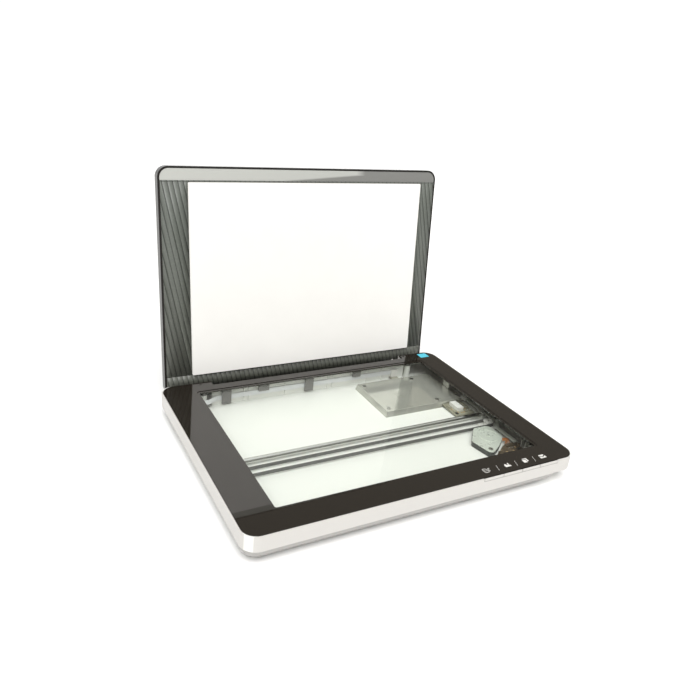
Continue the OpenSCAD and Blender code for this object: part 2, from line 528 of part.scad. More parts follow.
// teeth of the small wheel are turned to mesh with the drive pulley
module compound_gear() color([0.93, 0.93, 0.9]) bench() translate([p2[0], p2[1], 0]) difference() {
  union() {
    translate([0, 0, 3.4]) linear_extrude(1.2) gear2d(n_big, g_ang + 180);
    translate([0, 0, 4.5]) linear_extrude(1.5) gear2d(n_small, g_ang + 180/n_small);
  }
  translate([0, 0, 3]) cylinder(h = 8, r = 1.05, $fn = 48);
}
module motor_pinion() color([0.78, 0.68, 0.36]) bench() translate([p1[0], p1[1], 3.4]) difference() {
  linear_extrude(1.9) gear2d(n_pin, g_ang + 180/n_pin);
  translate([0, 0, -1]) cylinder(h = 5, r = 0.75, $fn = 32);
}
module motor_shaft() color(steel) bench() pin(p1[0], p1[1], 3.4, 11.9, 0.75);
module idler_pulley() color([0.9, 0.9, 0.88]) bench() translate([belt_x0, belt_y, 0]) difference() {
  union() {
    translate([0, 0, 6.15]) cylinder(h = 0.4, r = 6);
    translate([0, 0, 6.3]) cylinder(h = 4.5, r = drum_r);
    translate([0, 0, 10.5]) cylinder(h = 0.4, r = 6);
  }
  translate([0, 0, 5]) cylinder(h = 8, r = 1.05, $fn = 48);
}

// ---------------------------------------------------------------- hinges
module hinge_posts() color(black) bench() for (x = post_x) difference() {
  union() {
    box(x, x + post_w, ny + 1.4, bz_d + 0.1, foot_h + 2.2, 12.9);
    for (u = [x, x + post_w - 3.6]) {
      box(u, u + 3.6, ya - 3.2, ya + 3.2, 12.8, za);
      translate([u, ya, za]) rotate([0, 90, 0]) cylinder(h = 3.6, r = 3.2);
    }
  }
  translate([x - 1, ya, za]) rotate([0, 90, 0]) cylinder(h = post_w + 2, r = 1.5, $fn = 48);
}
module hinge_pins() color(steel) bench() for (x = post_x)
  translate([x, ya, za]) rotate([0, 90, 0]) cylinder(h = post_w, r = 1.5, $fn = 48);

// ---------------------------------------------------------------- lid
module lid_shell(o) // o is how far the shape is pulled in
  translate([0, 0, lid_z1 - o]) mirror([0, 0, 1]) translate([lid_x0 + o, lid_y0 + o, 0])
    tray(lid_w - 2*o, lid_y1 - lid_y0 - 2*o, lid_t - o, lid_r - o, lid_edge - min(o, 2));
module lid_cover() color(black) bench() opened() {
  difference() {
    union() {
      difference() {
        lid_shell(0);
        translate([0, 0, -e]) lid_shell(lid_wall);
      }
      // screw bosses for the hinge arms
      for (x = post_x, s = [-2, post_w + 2]) translate([x + s, ya - 12, lid_z0 + 5.6]) cylinder(h = lid_t - 6.8, r = 2.4, $fn = 32);
    }
    for (x = post_x, s = [-2, post_w + 2]) translate([x + s, ya - 12, lid_z0 + 5]) cylinder(h = 4.6, r = 1.3, $fn = 32);
  }
  // lip that closes the recess behind the bezel
  box(post_x[0] + post_w + 2, post_x[1] - 2, bz_d - 2.4, lid_y1, lid_z0 - 8, lid_z0 + 1);
}
module lid_liner() color([0.42, 0.44, 0.41]) bench() opened() difference() {
  plate(lid_x0 + lid_wall + 0.1, lid_y0 + lip_d, lid_z0, lid_w - 2*lid_wall - 0.2, lid_y1 - lid_y0 - lip_d - 3.1, 2, 1);
  for (x = [lid_x0 + lid_wall + 0.1, lid_x0 + lid_w - lid_wall - 10.1]) difference() {
    box(x - 1, x + 11, lid_y1 - 13.1, lid_y1, lid_z0 - 1, lid_z0 + 3);
    translate([x < cx ? x + 10 : x, lid_y1 - 13.1, lid_z0 - 2]) cylinder(h = 6, r = 10);
  }
  for (x = post_x) box(x + 3.8, x + 10.2, ya - 3.1, ya + 4, lid_z0 - 1, lid_z0 + 3);
}
module lid_lip() color([0.5, 0.5, 0.49]) bench() opened() difference() {
  plate(lid_x0 + lid_wall + 0.1, lid_y0 + lid_wall + 0.1, lid_z0, lid_w - 2*lid_wall - 0.2, lip_d + 20, 2, 9.7);
  box(0, bz_w, lid_y0 + lip_d - 0.1, lid_y0 + 80, lid_z0 - 1, lid_z0 + 4);
}
module lid_arms() color([0.14, 0.14, 0.14]) bench() opened() for (x = post_x) difference() {
  union() {
    translate([x + 4, ya, za]) rotate([0, 90, 0]) cylinder(h = 6, r = 3);
    box(x + 4, x + 10, ya - 2.6, ya + 2.1, za, lid_z0 + 3.7);
    box(x - 5, x + post_w + 5, ya - 16, ya + 2.1, lid_z0 + 3.6, lid_z0 + 5.6);
  }
  translate([x, ya, za]) rotate([0, 90, 0]) cylinder(h = 14, r = 1.56, $fn = 48);
  for (s = [-2, post_w + 2]) translate([x + s, ya - 12, lid_z0]) cylinder(h = 8, r = 1.3, $fn = 32);
}
module lid_screws() color(steel) bench() opened() for (x = post_x, s = [-2, post_w + 2]) {
  translate([x + s, ya - 12, lid_z0 + 2.2]) cylinder(h = 1.4, r = 2.3, $fn = 32);
  translate([x + s, ya - 12, lid_z0 + 3.5]) cylinder(h = 5, r = 1.25, $fn = 32);
}
module pad_foam() color([0.8, 0.8, 0.78]) bench() opened()
  plate(window_x + 2.2, window_y + 1.8, lid_z0 - foam_t, window_w - 4.4, window_d - 3.6, foam_t, 1.5);
module pad_sheet() color([0.97, 0.97, 0.96]) bench() opened()
  plate(window_x + 2, window_y + 1.6, lid_z0 - foam_t - 0.5, window_w - 4, window_d - 3.2, 0.5, 1.5);

// ---------------------------------------------------------------- keys
module key(i) color(white) bench() translate([key_x0 + i*key_pitch, 0, 0]) {
  box(0, key_w, -rim, -rim + 0.8, key_z0, key_z1);
  box(2, key_w - 2, -rim + 0.7, 2.9, key_z0, bz_z - 0.4);
  box(9.5, 12.5, 2.8, 4.05, key_z0 - 1.2, bz_z - 0.4);
}
module key_document() key(0);
module key_picture() key(1);
module key_copy() key(2);
module key_mail() key(3);

base_tub();
rubber_feet();
base_screws();
top_bezel();
corner_label();
platen_glass();
glass_tape();
calibration_strip();
guide_shaft();
shaft_clips();
drive_belt();
gear_studs();
idler_bracket();
tension_spring();
motor_body();
motor_plate();
motor_screws();
motor_wires();
motor_board();
button_cable();
main_board();
board_connectors();
usb_socket();
board_shield();
shield_screws();
scan_ribbon();
button_board();
tact_switches();
carriage_frame();
belt_clamp();
clamp_screws();
cis_housing();
cis_window();
lens_array();
light_guide();
cis_board();
cis_glides();
cis_springs();
drive_pulley();
compound_gear();
motor_pinion();
motor_shaft();
idler_pulley();
hinge_posts();
hinge_pins();
lid_cover();
lid_liner();
lid_lip();
lid_arms();
lid_screws();
pad_foam();
pad_sheet();
key_document();
key_picture();
key_copy();
key_mail();
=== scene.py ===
import bpy, bmesh, math
from mathutils import Vector, Matrix


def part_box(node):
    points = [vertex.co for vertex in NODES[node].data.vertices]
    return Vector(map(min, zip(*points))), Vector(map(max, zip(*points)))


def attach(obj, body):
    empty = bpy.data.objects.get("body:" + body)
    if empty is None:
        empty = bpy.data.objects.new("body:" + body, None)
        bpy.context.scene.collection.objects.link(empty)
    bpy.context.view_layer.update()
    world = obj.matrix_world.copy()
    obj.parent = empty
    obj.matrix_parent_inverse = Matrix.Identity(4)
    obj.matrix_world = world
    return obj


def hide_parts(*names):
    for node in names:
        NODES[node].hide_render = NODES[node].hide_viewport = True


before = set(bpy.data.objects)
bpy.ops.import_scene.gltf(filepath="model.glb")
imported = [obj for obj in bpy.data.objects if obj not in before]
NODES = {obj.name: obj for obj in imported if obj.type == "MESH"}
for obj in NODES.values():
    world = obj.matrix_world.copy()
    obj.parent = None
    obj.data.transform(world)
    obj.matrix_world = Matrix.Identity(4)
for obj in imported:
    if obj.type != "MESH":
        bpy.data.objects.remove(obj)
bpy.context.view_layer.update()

MM = 0.001

# the bench coordinates of the design, in millimetres from the bezel's front left corner
tub_lo, tub_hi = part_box("base_tub")
ORG = Vector((tub_lo.x + 1.5 * MM, tub_lo.y + 1.5 * MM, 0.0))
YA, ZA, OPEN = 268.9, 16.94, math.radians(95.7)
LID_Z = 30.8


def B(x, y, z):
    """A point of the base."""
    return Vector((ORG.x + x * MM, ORG.y + y * MM, z * MM))


def L(x, y, z):
    """A point of the lid, given where it is with the lid closed."""
    dy, dz = y - YA, z - ZA
    return B(x, YA + dy * math.cos(OPEN) + dz * math.sin(OPEN), ZA - dy * math.sin(OPEN) + dz * math.cos(OPEN))


# ------------------------------------------------------------------ camera
cam_data = bpy.data.cameras.new("camera")
cam_data.sensor_fit = "HORIZONTAL"
cam_data.sensor_width = 36.0
cam_data.lens = 34.383
cam_data.clip_start = 0.01
cam_data.clip_end = 60
cam = bpy.data.objects.new("camera", cam_data)
bpy.context.scene.collection.objects.link(cam)
eye = B(-162.293, -398.592, 389.132)
cam.matrix_world = Matrix((
    (0.87489913, 0.1109195, -0.47143226, eye.x),
    (-0.47389576, 0.39680449, -0.78611004, eye.y),
    (0.0998715, 0.91117674, 0.39972819, eye.z),
    (0, 0, 0, 1)))
bpy.context.scene.camera = cam
bpy.context.scene.view_settings.view_transform = "Standard"
bpy.context.scene.view_settings.look = "None"


# ------------------------------------------------------------------ nodes
class Net:
    """A material's node tree, with short calls for what the materials here use."""
    def __init__(self, name):
        self.m = bpy.data.materials.new(name)
        self.m.use_nodes = True
        self.t = self.m.node_tree
        self.t.nodes.clear()
        self.out = self.t.nodes.new("ShaderNodeOutputMaterial")
        self.co = self.t.nodes.new("ShaderNodeTexCoord").outputs["Object"]

    def n(self, kind, **kw):
        node = self.t.nodes.new("ShaderNode" + kind)
        for k, v in kw.items():
            setattr(node, k, v)
        return node

    def put(self, node, key, v):
        s = node.inputs[key]
        if isinstance(v, bpy.types.NodeSocket):
            self.t.links.new(v, s)
        elif v is not None:
            s.default_value = v
        return s

    def noise(self, scale, detail=3.0, rough=0.55, vec=None, distort=0.0):
        k = self.n("TexNoise")
        self.put(k, "Vector", vec or self.co)
        k.inputs["Scale"].default_value = scale
        k.inputs["Detail"].default_value = detail
        k.inputs["Roughness"].default_value = rough
        k.inputs["Distortion"].default_value = distort
        return k.outputs["Fac"]

    def stretch(self, x, y, z):
        k = self.n("Mapping")
        self.put(k, "Vector", self.co)
        k.inputs["Scale"].default_value = (x, y, z)
        return k.outputs["Vector"]

    def ramp(self, fac, stops):
        k = self.n("ValToRGB")
        e = k.color_ramp.elements
        while len(e) < len(stops):
            e.new(0.5)
        for el, (p, c) in zip(e, stops):
            el.position = p
            el.color = (*c, 1) if len(c) == 3 else c
        self.put(k, "Fac", fac)
        return k.outputs["Color"]

    def range(self, v, a, b, c, d, clamp=True):
        k = self.n("MapRange")
        k.clamp = clamp
        self.put(k, "Value", v)
        for key, val in (("From Min", a), ("From Max", b), ("To Min", c), ("To Max", d)):
            k.inputs[key].default_value = val
        return k.outputs["Result"]

    def math(self, op, a, b=None):
        k = self.n("Math", operation=op)
        self.put(k, 0, a)
        if b is not None:
            self.put(k, 1, b)
        return k.outputs["Value"]

    def mix(self, fac, a, b):
        k = self.n("Mix", data_type="RGBA")
        self.put(k, 0, fac)
        self.put(k, 6, a if isinstance(a, bpy.types.NodeSocket) else (*a, 1))
        self.put(k, 7, b if isinstance(b, bpy.types.NodeSocket) else (*b, 1))
        return k.outputs[2]

    def bump(self, h, strength, dist, normal=None):
        k = self.n("Bump")
        k.inputs["Strength"].default_value = strength
        k.inputs["Distance"].default_value = dist
        self.put(k, "Height", h)
        if normal is not None:
            self.put(k, "Normal", normal)
        return k.outputs["Normal"]

    def bsdf(self, color, rough, normal=None, **kw):
        b = self.n("BsdfPrincipled")
        self.put(b, "Base Color", color if isinstance(color, bpy.types.NodeSocket) else (*color, 1))
        self.put(b, "Roughness", rough)
        if normal is not None:
            self.put(b, "Normal", normal)
        for k, v in kw.items():
            self.put(b, k, v)
        self.t.links.new(b.outputs["BSDF"], self.out.inputs["Surface"])
        return b


def shade(c, k):
    return tuple(min(1.0, max(0.0, x * k)) for x in c)


def plastic(name, c, rough=0.35, var=0.06, scale=30, grain=0.0, grain_scale=2200, coat=0.0, spec=0.5, ior=1.5, metallic=0.0, drough=0.06):
    """Moulded plastic or plain metal: slow colour drift, uneven gloss and a fine moulded grain."""
    g = Net(name)
    drift = g.noise(scale, 4.0)
    col = g.ramp(drift, [(0.3, shade(c, 1 - var)), (0.7, shade(c, 1 + var))])
    ro = g.range(g.noise(scale * 2.3, 3.0), 0.3, 0.7, max(0.02, rough - drough), rough + drough)
    nrm = g.bump(g.noise(grain_scale, 2.0), grain, 0.00006) if grain else None
    kw = {"Metallic": metallic, "IOR": ior}
    if coat:
        kw["Coat Weight"] = coat
        kw["Coat Roughness"] = 0.03
    g.bsdf(col, ro, nrm, **kw)
    return g.m


def gloss_black(name, c=(0.016, 0.013, 0.010), rough=0.02, inner=None, ior=1.62):
    """Piano black: a dark warm body under a clear, slightly uneven gloss with faint wiping marks and dust. Below the height inner it is plain grey plastic."""
    g = Net(name)
    dust = g.noise(900, 2.0, 0.6)
    smear = g.noise(18, 5.0, 0.6, vec=g.stretch(1, 2.2, 1), distort=0.4)
    col = g.mix(g.range(dust, 0.68, 0.80, 0.0, 0.07), c, (0.30, 0.29, 0.27))
    ro = g.range(smear, 0.35, 0.75, rough * 0.7, rough * 2.2)
    if inner is not None:
        sep = g.n("SeparateXYZ")
        g.put(sep, 0, g.co)
        k = g.math("GREATER_THAN", sep.outputs[2], inner)
        col = g.mix(k, g.ramp(g.noise(60, 3.0), [(0.3, (0.13, 0.125, 0.12)), (0.7, (0.17, 0.165, 0.155))]), col)
        ro = g.math("ADD", g.math("MULTIPLY", ro, k), g.math("MULTIPLY", 0.45, g.math("SUBTRACT", 1.0, k)))
    g.bsdf(col, ro, None, IOR=ior)
    return g.m


def case_white(name, c=(0.56, 0.545, 0.52), fold=0.0143):
    """White case: satin sides with a fine grain; under the fold of the belly the colour is darkened as painted shade,
    and inside the tub it is lightened as painted light.
    """
    g = Net(name)
    sep = g.n("SeparateXYZ")
    g.put(sep, 0, g.co)
    out = g.range(sep.outputs[2], fold - 0.0003, fold, 0.0, 1.0)
    # only the outside of the tub gets the painted shade of the belly: inside, x and y are both well within the walls
    ax = g.math("ABSOLUTE", g.math("SUBTRACT", sep.outputs[0], (tub_lo.x + tub_hi.x) / 2))
    ay = g.math("ABSOLUTE", g.math("SUBTRACT", sep.outputs[1], (tub_lo.y + tub_hi.y) / 2))
    ex = g.range(ax, (tub_hi.x - tub_lo.x) / 2 - 0.0125, (tub_hi.x - tub_lo.x) / 2 - 0.0100, 0.0, 1.0)
    ey = g.range(ay, (tub_hi.y - tub_lo.y) / 2 - 0.0125, (tub_hi.y - tub_lo.y) / 2 - 0.0100, 0.0, 1.0)
    edge = g.math("MAXIMUM", ex, ey)
    belly_shade_mask = g.math("MULTIPLY", edge, g.math("SUBTRACT", 1.0, out))
    drift = g.ramp(g.noise(9, 3.0), [(0.3, shade(c, 0.992)), (0.7, shade(c, 1.008))])
    # painted shade: the belly under the fold is darkened to 60 to 68 per cent of the case colour
    belly_painted_shade = g.ramp(g.noise(1500, 2.0), [(0.3, shade(c, 0.60)), (0.7, shade(c, 0.68))])
    col = g.mix(belly_shade_mask, drift, belly_painted_shade)
    # painted light: the inside of the tub, away from the outer skin, is lightened well above the case colour
    tx = g.range(ax, (tub_hi.x - tub_lo.x) / 2 - 0.0021, (tub_hi.x - tub_lo.x) / 2 - 0.0018, 0.0, 1.0)
    ty = g.range(ay, (tub_hi.y - tub_lo.y) / 2 - 0.0021, (tub_hi.y - tub_lo.y) / 2 - 0.0018, 0.0, 1.0)
    skin = g.math("MULTIPLY", out, g.math("MAXIMUM", tx, ty))
    inside = g.math("SUBTRACT", 1.0, g.math("MAXIMUM", skin, g.math("MULTIPLY", edge, g.math("SUBTRACT", 1.0, out))))
    inside_painted_light = g.ramp(g.noise(12, 3.0), [(0.3, (0.715, 0.72, 0.685)), (0.7, (0.74, 0.74, 0.705))])
    col = g.mix(inside, col, inside_painted_light)
    ro = g.range(g.noise(14, 3.0), 0.3, 0.7, 0.34, 0.44)
    g.bsdf(col, ro, g.bump(g.noise(1900, 2.0), 0.06, 0.00003), IOR=1.46)
    return g.m


def brushed(name, c, rough=0.25, axis=(1, 60, 60), scale=40):
    """Turned or drawn metal: fine lines along one direction."""
    g = Net(name)
    lines = g.noise(scale, 6.0, 0.7, vec=g.stretch(*axis))
    col = g.ramp(lines, [(0.25, shade(c, 0.86)), (0.75, shade(c, 1.08))])
    ro = g.range(lines, 0.3, 0.7, max(0.04, rough - 0.07), rough + 0.1)
    g.bsdf(col, ro, g.bump(lines, 0.12, 0.00004), Metallic=1.0)
    return g.m


def clear_glass(name, tint=(0.975, 0.985, 0.975), fr=1.3):
    """Flat clear glass: what is behind it is seen straight through, with a Fresnel reflection on top and faint dust."""
    g = Net(name)
    dust = g.noise(700, 2.0, 0.6)
    tr = g.n("BsdfTransparent")
    g.put(tr, "Color", g.ramp(dust, [(0.70, tint), (0.82, shade(tint, 0.94))]))
    gl = g.n("BsdfGlossy")
    gl.inputs["Roughness"].default_value = 0.02
    g.put(gl, "Color", g.ramp(g.noise(25, 3.0), [(0.2, (0.93, 0.95, 0.94)), (0.8, (1, 1, 1))]))
    f = g.n("Fresnel")
    f.inputs["IOR"].default_value = fr
    geo = g.n("NewGeometry")
    front = g.math("SUBTRACT", 1.0, geo.outputs["Backfacing"])
    mx = g.n("MixShader")
    g.t.links.new(g.math("MULTIPLY", f.outputs[0], front), mx.inputs[0])
    g.t.links.new(tr.outputs[0], mx.inputs[1])
    g.t.links.new(gl.outputs[0], mx.inputs[2])
    g.t.links.new(mx.outputs[0], g.out.inputs["Surface"])
    return g.m


M = {}
M["case_white"] = case_white("case_white")
M["bezel_black"] = gloss_black("bezel_black", inner=0.0277)
M["lid_black"] = gloss_black("lid_black", (0.014, 0.0125, 0.011), 0.05, ior=1.25)
M["key_white"] = plastic("key_white", (0.56, 0.545, 0.52), 0.34, var=0.01, grain=0.04)
M["rubber"] = plastic("rubber", (0.02, 0.02, 0.02), 0.75, var=0.2, scale=200, grain=0.4, grain_scale=3000)
M["sheet_white"] = plastic("sheet_white", (0.79, 0.776, 0.75), 0.5, var=0.012, grain=0.08, grain_scale=1400)
M["tape"] = plastic("tape", (0.015, 0.015, 0.015), 0.6, var=0.2, scale=80, grain=0.1)
M["strip_white"] = plastic("strip_white", (0.88, 0.88, 0.87), 0.6, var=0.01, scale=50, grain=0.05)
M["steel_rod"] = brushed("steel_rod", (0.62, 0.62, 0.60), 0.18, (1, 50, 50))
M["steel_small"] = brushed("steel_small", (0.60, 0.60, 0.58), 0.25, (12, 12, 1), 90)
M["spring"] = brushed("spring", (0.55, 0.55, 0.54), 0.2, (30, 30, 30), 60)
M["motor_plate"] = plastic("motor_plate", (0.66, 0.70, 0.63), 0.30, var=0.06, scale=60, grain=0.1, metallic=0.35)
M["motor_dark"] = plastic("motor_dark", (0.055, 0.058, 0.055), 0.4, var=0.15, scale=60, grain=0.15)
M["shield"] = plastic("shield", (0.60, 0.60, 0.545), 0.12, var=0.05, scale=60, grain=0.08, metallic=0.62)
M["belt"] = plastic("belt", (0.10, 0.10, 0.095), 0.55, var=0.15, scale=120, grain=0.3)
M["pom"] = plastic("pom", (0.74, 0.73, 0.70), 0.38, var=0.02, scale=60, grain=0.06)
M["brass"] = brushed("brass", (0.70, 0.50, 0.20), 0.25, (20, 20, 1), 60)
M["pcb"] = plastic("pcb", (0.27, 0.26, 0.20), 0.35, var=0.15, scale=90, grain=0.1)
M["pcb_brown"] = plastic("pcb_brown", (0.10, 0.075, 0.05), 0.4, var=0.25, scale=220, grain=0.1)
M["dark_parts"] = plastic("dark_parts", (0.022, 0.022, 0.022), 0.42, var=0.2, scale=70, grain=0.15)
M["wires"] = plastic("wires", (0.42, 0.16, 0.05), 0.4, var=0.25, scale=120, grain=0.1)
M["cable_grey"] = plastic("cable_grey", (0.46, 0.47, 0.43), 0.45, var=0.08, scale=80, grain=0.1)
M["ribbon"] = plastic("ribbon", (0.72, 0.73, 0.75), 0.35, var=0.04, scale=40, grain=0.05)
M["socket"] = brushed("socket", (0.60, 0.60, 0.58), 0.25, (1, 40, 40), 50)
M["optic"] = plastic("optic", (0.60, 0.66, 0.66), 0.12, var=0.03, scale=60)
M["glass"] = clear_glass("glass")
M["label"] = plastic("label", (0.08, 0.52, 0.66), 0.3, var=0.05, scale=200, grain=0.05)
M["foam"] = plastic("foam", (0.62, 0.61, 0.58), 0.85, var=0.1, scale=600, grain=0.6, grain_scale=1800)


FLUTE = 0.0056
SLANT = math.radians(11.5)


def liner_material():
    """Grey-green moulded liner with slanting flutes: a thin dark line of painted shade at each groove and a soft crown
    between.
    """
    g = Net("liner_flutes")
    sep = g.n("SeparateXYZ")
    g.put(sep, 0, g.co)
    a = SLANT
    s = g.math("ADD", g.math("MULTIPLY", sep.outputs[0], math.cos(a)), g.math("MULTIPLY", sep.outputs[2], math.sin(a)))
    f = g.math("FRACT", g.math("MULTIPLY", s, 1 / FLUTE))
    groove = g.range(g.math("ABSOLUTE", g.math("SUBTRACT", f, 0.5)), 0.38, 0.5, 0.0, 1.0)
    crown = g.math("SINE", g.math("MULTIPLY", f, math.pi))
    height = g.range(sep.outputs[2], 0.0, 0.27, 0.0, 1.0)
    base = g.ramp(height, [(0.0, (0.078, 0.081, 0.068)), (0.12, (0.096, 0.100, 0.085)), (0.5, (0.100, 0.107, 0.092)), (0.8, (0.116, 0.126, 0.111)), (1.0, (0.130, 0.140, 0.124))])
    # painted shade: the grooves between the flutes are darkened almost to black
    col = g.mix(g.math("MULTIPLY", groove, 0.96), base, (0.010, 0.012, 0.009))
    col = g.mix(g.range(g.noise(500, 3.0), 0.45, 0.75, 0, 0.10), col, (0.3, 0.31, 0.28))
    g.bsdf(col, g.range(g.noise(40, 3.0), 0.3, 0.7, 0.30, 0.42), g.bump(crown, 0.5, 0.0005), IOR=1.46)
    return g.m


def lip_material():
    """Glossy grey strip on the lid's free edge, with a painted reflection in two tones."""
    g = Net("lip_gloss")
    sep = g.n("SeparateXYZ")
    g.put(sep, 0, g.co)
    # painted reflection: a pale and a darker part of the strip meet in a slanting, soft border
    edge = g.math("ADD", sep.outputs[0], g.math("MULTIPLY", sep.outputs[2], -12.9))
    k = g.math("MAXIMUM", g.range(edge, -3.315, -3.29, 0.0, 1.0), g.range(sep.outputs[0], 0.060, 0.072, 0.0, 1.0))
    pale = g.ramp(g.range(sep.outputs[0], -0.18, 0.03, 0.0, 1.0), [(0.0, (0.45, 0.455, 0.425)), (1.0, (0.41, 0.415, 0.39))])
    dark = g.ramp(g.range(sep.outputs[0], -0.05, 0.17, 0.0, 1.0), [(0.0, (0.19, 0.19, 0.178)), (1.0, (0.17, 0.17, 0.16))])
    col = g.mix(k, pale, dark)
    g.bsdf(col, g.range(g.noise(20, 3.0), 0.3, 0.7, 0.10, 0.18), None, IOR=1.5)
    return g.m


M["liner"] = liner_material()
M["lip"] = lip_material()

ASSIGN = {
    "case_white": ["base_tub"], "bezel_black": ["top_bezel"], "lid_black": ["lid_cover"],
    "key_white": ["key_document", "key_picture", "key_copy", "key_mail"], "rubber": ["rubber_feet"],
    "sheet_white": ["pad_sheet"], "tape": ["glass_tape"], "strip_white": ["calibration_strip"],
    "steel_rod": ["guide_shaft"], "steel_small": ["base_screws", "motor_screws", "shield_screws", "clamp_screws", "lid_screws", "gear_studs", "hinge_pins", "motor_shaft", "shaft_clips"],
    "spring": ["tension_spring", "cis_springs"], "motor_plate": ["motor_plate"], "motor_dark": ["motor_body"],
    "shield": ["board_shield"], "belt": ["drive_belt"],
    "pom": ["drive_pulley", "compound_gear", "idler_pulley", "idler_bracket", "belt_clamp", "board_connectors", "cis_glides"],
    "brass": ["motor_pinion"], "pcb": ["main_board", "button_board", "cis_board"], "pcb_brown": ["motor_board"],
    "dark_parts": ["carriage_frame", "cis_housing", "hinge_posts", "lid_arms", "tact_switches"],
    "wires": ["motor_wires"], "cable_grey": ["button_cable"], "ribbon": ["scan_ribbon"], "socket": ["usb_socket"],
    "optic": ["lens_array", "light_guide"], "glass": ["platen_glass", "cis_window"], "label": ["corner_label"],
    "foam": ["pad_foam"], "liner": ["lid_liner"], "lip": ["lid_lip"],
}
done = set()
for key, names in ASSIGN.items():
    for nm in names:
        o = NODES[nm]
        o.data.materials.clear()
        o.data.materials.append(M[key])
        done.add(nm)
missing = sorted(set(NODES) - done)
if missing:
    raise RuntimeError("no material for " + ", ".join(missing))

# ------------------------------------------------------------------ added pieces
def mesh_object(name, bm, mat, body, smooth=False):
    me = bpy.data.meshes.new(name)
    bmesh.ops.recalc_face_normals(bm, faces=bm.faces)
    bm.to_mesh(me)
    bm.free()
    if smooth:
        me.polygons.foreach_set("use_smooth", [True] * len(me.polygons))
    o = bpy.data.objects.new(name, me)
    bpy.context.scene.collection.objects.link(o)
    me.materials.append(mat)
    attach(o, body)
    return o


def prism(bm, outline, z0, z1, xf=B):
    """A flat piece with this outline in plan."""
    n = len(outline)
    lo = [bm.verts.new(xf(x, y, z0)) for x, y in outline]
    hi = [bm.verts.new(xf(x, y, z1)) for x, y in outline]
    bm.faces.new(lo)
    bm.faces.new(hi)
    for k in range(n):
        bm.faces.new((lo[k], lo[(k + 1) % n], hi[(k + 1) % n], hi[k]))


def soft_block(bm, x0, x1, y0, y1, z0, z1, r, xf=B, seg=2):
    """A moulded block with all its edges rounded to r."""
    part = bmesh.new()
    prism(part, [(x0, y0), (x1, y0), (x1, y1), (x0, y1)], z0, z1, xf)
    bmesh.ops.bevel(part, geom=part.edges[:], offset=r * MM, segments=seg, affect="EDGES", profile=0.6)
    add(bm, part)


def add(bm, part):
    made = {v: bm.verts.new(v.co) for v in part.verts}
    for f in part.faces:
        bm.faces.new([made[v] for v in f.verts])
    part.free()


def ring(cx, cy, rx, ry, n=28, a0=0.0, a1=360.0):
    return [(cx + rx * math.cos(math.radians(a0 + (a1 - a0) * k / (n if a1 - a0 >= 360 else n - 1))),
             cy + ry * math.sin(math.radians(a0 + (a1 - a0) * k / (n if a1 - a0 >= 360 else n - 1)))) for k in range(n)]


def stroke(bm, pts, w, z0, z1, closed=False):
    """A thin line of width w along points in plan."""
    m = len(pts)
    for k in range(m if closed else m - 1):
        (ax, ay), (bx, by) = pts[k], pts[(k + 1) % m]
        d = math.hypot(bx - ax, by - ay)
        ux, uy = (bx - ax) / d, (by - ay) / d
        px, py = -uy * w / 2, ux * w / 2
        ex, ey = ux * w / 2, uy * w / 2
        prism(bm, [(ax - ex + px, ay - ey + py), (ax - ex - px, ay - ey - py), (bx + ex - px, by + ey - py), (bx + ex + px, by + ey + py)], z0, z1)


ink = plastic("legend_ink", (0.66, 0.65, 0.62), 0.45, var=0.05, scale=300, grain=0.05)
Z0, Z1 = 29.985, 30.03
# separators between the key legends
bm = bmesh.new()
for x in (268.0, 292.2, 316.4):
    stroke(bm, [(x - 1.0, 5.2), (x + 1.3, 13.4)], 0.32, Z0, Z1)
mesh_object("legend_separators", bm, ink, "base")
# document: two pages, one behind the other, with a corner folded
bm = bmesh.new()
stroke(bm, [(250.6, 6.6), (255.6, 6.6), (255.6, 10.6), (254.2, 12.6), (250.6, 12.6)], 0.62, Z0, Z1, True)
stroke(bm, [(251.8, 9.0), (254.2, 9.0)], 0.5, Z0, Z1)
stroke(bm, [(251.8, 10.8), (253.4, 10.8)], 0.5, Z0, Z1)
stroke(bm, [(257.2, 7.6), (257.2, 12.0), (259.2, 12.0)], 0.62, Z0, Z1)
mesh_object("legend_document", bm, ink, "base")
# picture: a filled frame with a hill and a disc
bm = bmesh.new()
prism(bm, [(277.4, 7.2), (284.8, 7.2), (284.8, 8.8), (282.6, 11.2), (281.2, 9.6), (279.4, 12.6), (277.4, 10.0)], Z0, Z1)
prism(bm, ring(283.4, 12.0, 0.9, 0.9), Z0, Z1)
mesh_object("legend_picture", bm, ink, "base")
# copy: two filled sheets
bm = bmesh.new()
prism(bm, [(301.8, 6.8), (306.2, 6.8), (306.2, 11.4), (301.8, 11.4)], Z0, Z1)
prism(bm, [(303.4, 12.2), (307.0, 12.2), (307.0, 8.2), (308.8, 8.2), (308.8, 13.4), (303.4, 13.4)], Z0, Z1)
mesh_object("legend_copy", bm, ink, "base")
# mail: a filled envelope with a line for its flap
bm = bmesh.new()
prism(bm, [(324.8, 7.0), (332.4, 7.0), (332.4, 10.6), (328.6, 8.4), (324.8, 10.6)], Z0, Z1)
prism(bm, [(324.9, 11.9), (328.6, 9.5), (332.3, 11.9), (331.6, 12.8), (325.6, 12.8)], Z0, Z1)
mesh_object("legend_mail", bm, ink, "base")

# painted shadow: dark strips round the four keys stand in for the shade in the gap round them
bm = bmesh.new()
key_gap_shade = plastic("key_gap_painted_shade", (0.10, 0.095, 0.085), 0.6, var=0.1, scale=200, grain=0.1)


def face_strip(x0, x1, z0, z1):
    part = bmesh.new()
    prism(part, [(x0, -1.53), (x1, -1.53), (x1, -1.45), (x0, -1.45)], z0, z1)
    add(bm, part)


face_strip(243.1, 340.4, 26.34, 26.74)
face_strip(243.15, 243.5, 26.34, 29.6)
for k in (1, 2, 3):
    face_strip(243.6 + 24.3 * k - 0.5, 243.6 + 24.3 * k - 0.1, 26.34, 29.6)
mesh_object("key_gap_shade_strips", bm, key_gap_shade, "base")

